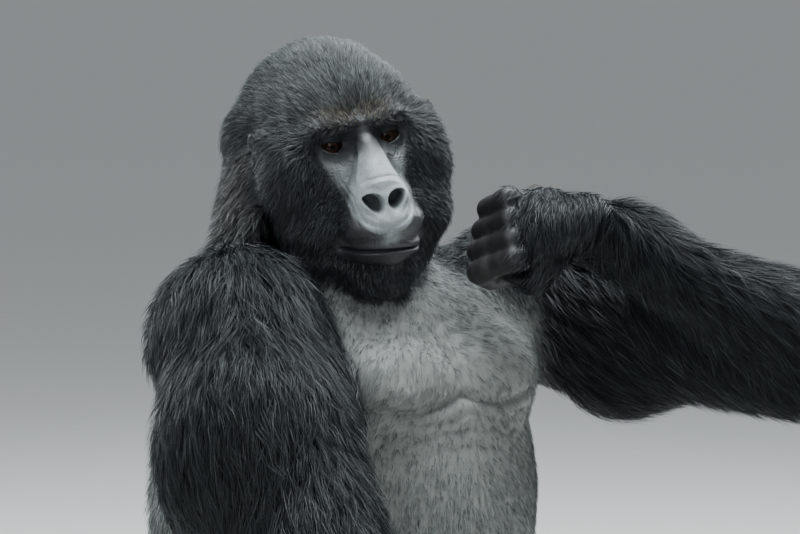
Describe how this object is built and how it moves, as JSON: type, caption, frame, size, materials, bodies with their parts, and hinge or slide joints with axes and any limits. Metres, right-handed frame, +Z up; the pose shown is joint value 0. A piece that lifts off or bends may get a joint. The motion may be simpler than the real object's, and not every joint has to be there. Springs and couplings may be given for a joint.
{
  "type": "seated mountain gorilla",
  "caption": "Life-size male mountain gorilla sitting on the floor, its right arm down to the knuckles and its left hand raised, half closed, beside the cheek.",
  "frame": {"origin": "middle of the seat, on the floor", "axes": "+Z up, +X towards the animal's left, -Y towards its front (the head is turned towards its right)"},
  "size_m": [1.0027, 0.9364, 1.1457],
  "materials": {
    "coat_black": "dense black hair with a blue-grey sheen",
    "coat_silver": "shorter silver-grey hair of the back, flanks and thighs",
    "skin_dark": "bare dark grey leathery skin, finely wrinkled",
    "eye": "wet brown eye"
  },
  "bodies": {
    "root": {"ear_left": "skin_dark", "ear_right": "skin_dark", "eye_left": "eye", "eye_right": "eye", "foot_left": "skin_dark", "foot_right": "skin_dark", "forearm_left": "coat_black", "forearm_right": "coat_black", "hand_left": "skin_dark", "hand_right": "skin_dark", "head": "coat_black", "neck": "coat_black", "shin_left": "coat_black", "shin_right": "coat_black", "thigh_left": "coat_silver", "thigh_right": "coat_silver", "trunk": "coat_silver", "upper_arm_left": "coat_black", "upper_arm_right": "coat_black"}
  },
  "joints": []
}
